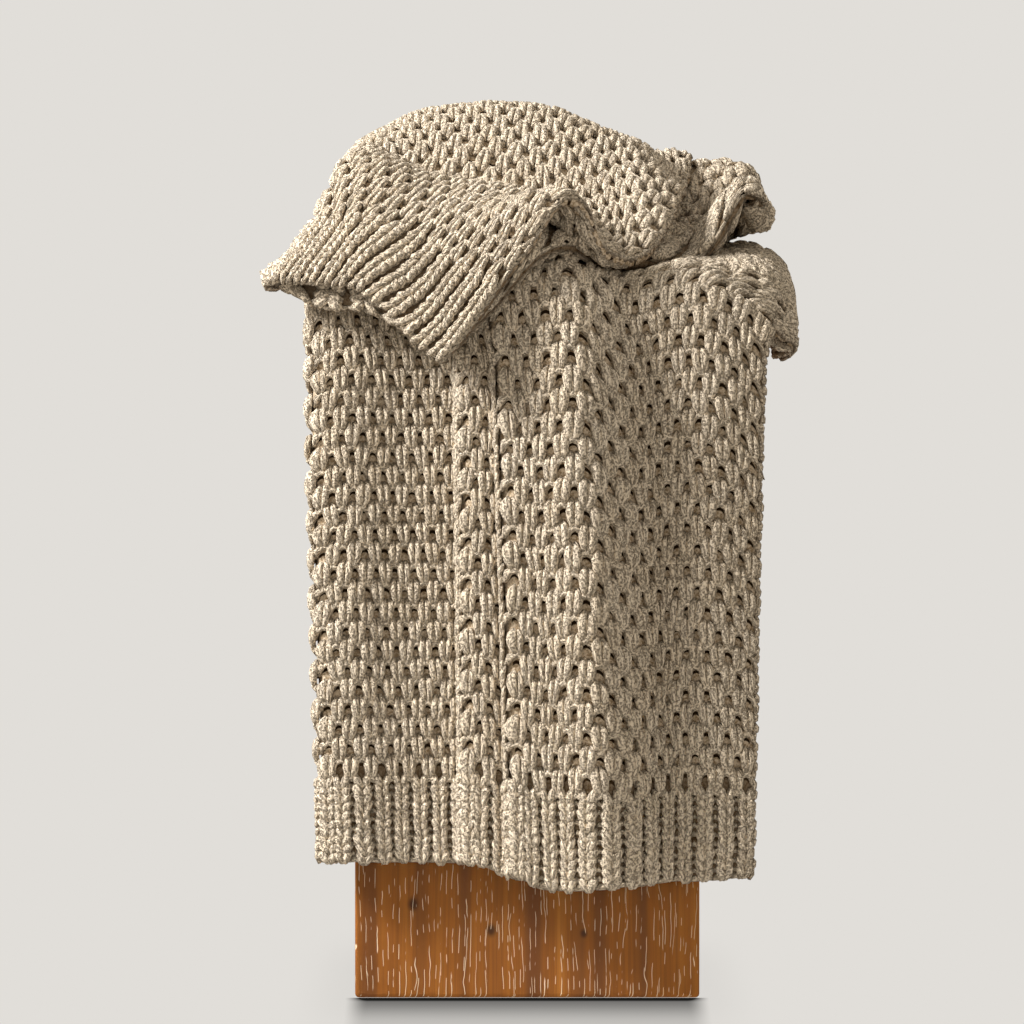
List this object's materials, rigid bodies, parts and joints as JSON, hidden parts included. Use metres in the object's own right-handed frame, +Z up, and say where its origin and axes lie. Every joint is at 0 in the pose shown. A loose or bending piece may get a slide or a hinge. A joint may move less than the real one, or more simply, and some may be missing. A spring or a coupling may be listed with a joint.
{
  "type": "knitted throw blanket folded over a wooden pedestal",
  "caption": "Ribbed, honeycomb-knit throw folded in layers, hanging down a square wooden pedestal and heaped on its top",
  "frame": {"origin": "middle of the pedestal's flat underside", "axes": "+Z up; the hanging front of the throw faces -Y; +X to the right as seen from the front"},
  "size_m": [0.4665, 0.4243, 0.7793],
  "materials": {
    "pedestal": "oiled reclaimed wood with fine pale cracks",
    "throw": "matt chunky chenille knit"
  },
  "bodies": {
    "root": {"pedestal": "pedestal", "throw": "throw"}
  },
  "joints": []
}
